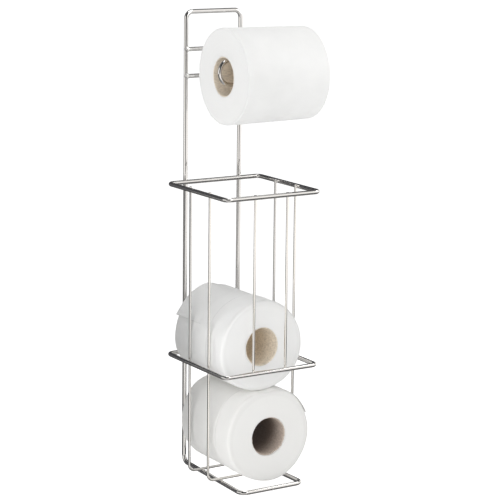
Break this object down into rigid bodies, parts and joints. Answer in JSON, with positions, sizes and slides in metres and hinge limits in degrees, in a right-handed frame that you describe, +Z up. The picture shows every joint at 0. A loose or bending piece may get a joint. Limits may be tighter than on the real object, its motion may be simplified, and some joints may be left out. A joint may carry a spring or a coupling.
{
  "type": "toilet roll storage holder",
  "caption": "Free-standing chromed wire holder that hangs a toilet roll on a folded wire arm and keeps spare rolls in an open wire store below it.",
  "frame": {"origin": "on the floor, at the centre of the wire base", "axes": "+Z up the legs, +X to the right seen from the front, +Y to the back, so the rolls are taken out towards -Y"},
  "size_m": [0.1588, 0.138, 0.519],
  "materials": {
    "chrome_wire": "polished",
    "tissue_paper": "matte",
    "core_board": "matte"
  },
  "bodies": {
    "holder": {"main_frame": "chrome_wire", "roll_arm": "chrome_wire", "top_rim": "chrome_wire", "lower_rim": "chrome_wire", "rear_cradle_wire": "chrome_wire", "front_cradle_wire": "chrome_wire", "left_front_wire": "chrome_wire", "right_front_wire": "chrome_wire"},
    "arm_roll": {"arm_roll_paper": "tissue_paper", "arm_roll_core": "core_board"},
    "upper_roll": {"upper_roll_paper": "tissue_paper", "upper_roll_core": "core_board"},
    "lower_roll": {"lower_roll_paper": "tissue_paper", "lower_roll_core": "core_board"}
  },
  "joints": [
    {"name": "arm_roll_spin", "type": "hinge", "parent": "holder", "child": "arm_roll", "pos_m": [0.027, 0.0026, 0.4506], "axis": [1, 0, 0], "continuous": true},
    {"name": "upper_roll_lift", "type": "slide", "parent": "holder", "child": "upper_roll", "axis": [0, 0, 1], "range_m": [0, 0.185]},
    {"name": "lower_roll_pull", "type": "slide", "parent": "holder", "child": "lower_roll", "axis": [0, -1, 0], "range_m": [0, 0.125]}
  ]
}
